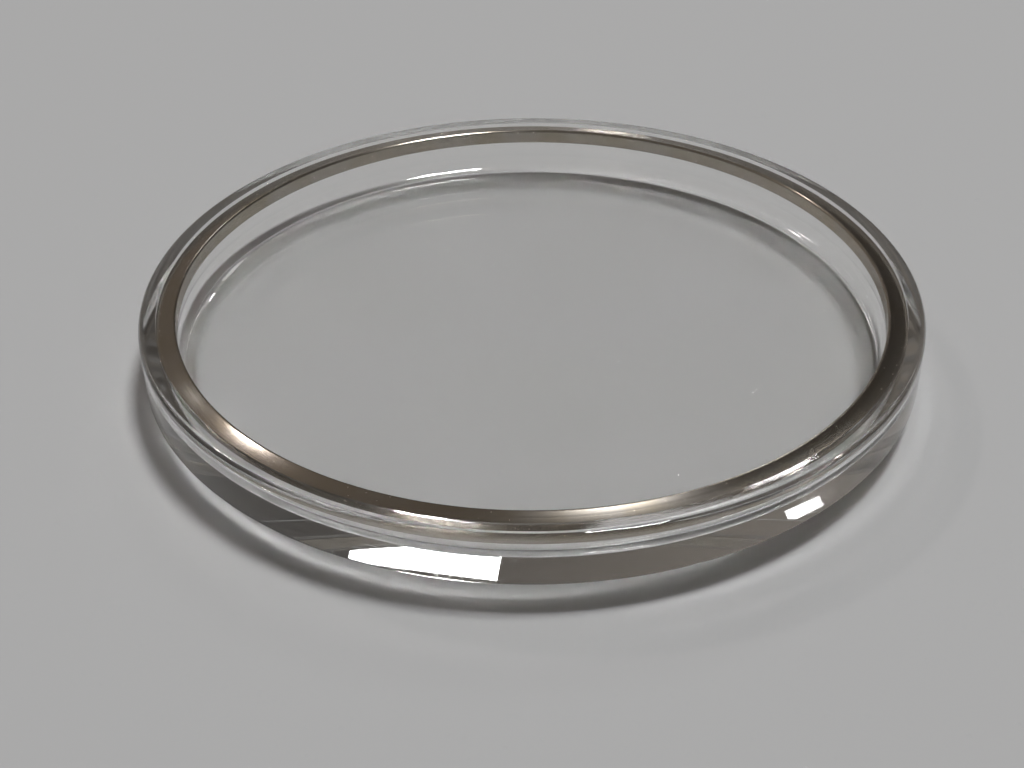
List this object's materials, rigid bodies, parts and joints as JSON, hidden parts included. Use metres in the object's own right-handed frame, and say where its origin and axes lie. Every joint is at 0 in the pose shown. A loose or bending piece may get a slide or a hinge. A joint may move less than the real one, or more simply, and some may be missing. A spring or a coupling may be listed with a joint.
{
  "type": "watch crystal",
  "caption": "Round clear domed watch crystal with a metal tension ring pressed inside its rim; it covers a watch dial.",
  "frame": {"origin": "middle of the dome's outer face, the lowest point with the crystal lying dome down", "axes": "+Z along the common axis, out of the open side that faces the watch case; X and Y in the plane of the rim, all directions alike"},
  "size_m": [0.032, 0.032, 0.0034],
  "materials": {
    "clear_acrylic": "polished clear acrylic, with the faint turned lines of its rim face",
    "ring_metal": "plated brass with fine turned lines"
  },
  "bodies": {
    "root": {"crystal": "clear_acrylic", "tension_ring": "ring_metal"}
  },
  "joints": []
}
